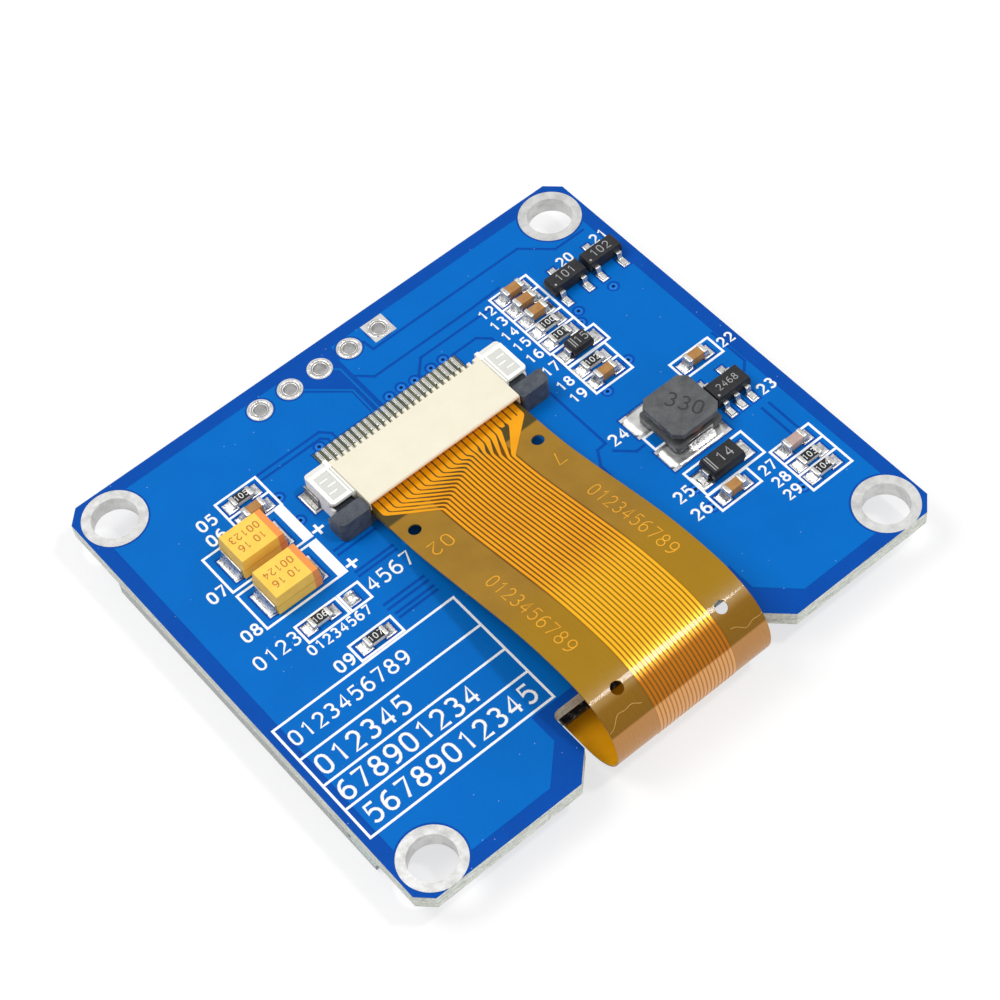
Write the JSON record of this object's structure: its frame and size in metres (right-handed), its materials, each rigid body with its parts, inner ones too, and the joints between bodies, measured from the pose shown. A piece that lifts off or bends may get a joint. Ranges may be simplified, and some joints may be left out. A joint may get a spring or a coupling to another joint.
{
  "type": "small oled display module",
  "caption": "Small OLED display module with a blue circuit board, its display face down and its flex film looped round a notch into a slide-lock connector.",
  "frame": {"origin": "middle of the four mounting holes, on the front face of the display", "axes": "+Z out of the component side, +Y to the edge with the header holes, +X to the right along that edge"},
  "size_m": [0.0424, 0.0385, 0.0076],
  "materials": {
    "solder_mask": "satin blue solder mask over glass-epoxy laminate",
    "tin": "matt tinned copper",
    "solder": "satin solder",
    "polarizer": "gloss black film",
    "display_glass": "clear",
    "emitter": "mirror-dark thin film",
    "seal": "satin cured adhesive",
    "desiccant": "matt white",
    "silicon": "polished dark grey",
    "resin": "matt dark resin",
    "foam": "matt black foam",
    "polyimide": "gloss amber film",
    "film_copper": "copper seen through amber film",
    "film_stiffener": "satin dark amber sheet",
    "connector_cream": "satin cream moulding",
    "connector_grey": "satin dark grey moulding",
    "contact_metal": "satin tin plate",
    "ferrite": "matt dark grey ferrite",
    "winding": "enamelled wire in shadow",
    "package_black": "matt black moulding",
    "tantalum_case": "satin orange-yellow moulding",
    "ceramic_tan": "satin tan ceramic with tinned ends",
    "ceramic_pink": "satin pinkish ceramic with tinned ends",
    "resistor_black": "gloss black glaze with tinned ends"
  },
  "bodies": {
    "module": {"circuit_board": "solder_mask", "mounting_hole_plating": "tin", "header_pads": "tin", "solder_pads": "tin", "polarizer": "polarizer", "front_glass": "display_glass", "emitting_layer": "emitter", "edge_seal": "seal", "cover_glass": "display_glass", "desiccant_sheet": "desiccant", "driver_chip": "silicon", "flex_bond_resin": "resin", "foam_tape": "foam", "flex_film": "polyimide", "flex_tracks": "film_copper", "flex_stiffener": "film_stiffener", "connector_housing": "connector_cream", "connector_contacts": "contact_metal", "connector_hold_downs": "contact_metal", "inductor_core": "ferrite", "inductor_winding": "winding", "inductor_terminals": "tin", "converter_body": "package_black", "converter_leads": "tin", "regulator_1_body": "package_black", "regulator_1_leads": "tin", "regulator_2_body": "package_black", "regulator_2_leads": "tin", "boost_diode_body": "package_black", "boost_diode_leads": "tin", "reset_diode_body": "package_black", "reset_diode_leads": "tin", "tantalum_1_body": "tantalum_case", "tantalum_1_terminals": "tin", "tantalum_2_body": "tantalum_case", "tantalum_2_terminals": "tin", "ceramic_capacitor_1": "ceramic_tan", "ceramic_capacitor_2": "ceramic_tan", "ceramic_capacitor_3": "ceramic_tan", "ceramic_capacitor_4": "ceramic_tan", "ceramic_capacitor_5": "ceramic_tan", "ceramic_capacitor_6": "ceramic_tan", "ceramic_capacitor_7": "ceramic_pink", "ceramic_capacitor_8": "ceramic_tan", "resistor_1": "resistor_black", "resistor_2": "resistor_black", "resistor_3": "resistor_black", "resistor_4": "resistor_black", "resistor_5": "resistor_black", "resistor_6": "resistor_black", "resistor_7": "resistor_black", "resistor_8": "resistor_black", "solder_chips": "solder", "solder_leads": "solder"},
    "slider": {"connector_slider": "connector_grey"}
  },
  "joints": [
    {"name": "connector_lock", "type": "slide", "parent": "module", "child": "slider", "axis": [0, -1, 0], "range_m": [0, 0.001]}
  ]
}
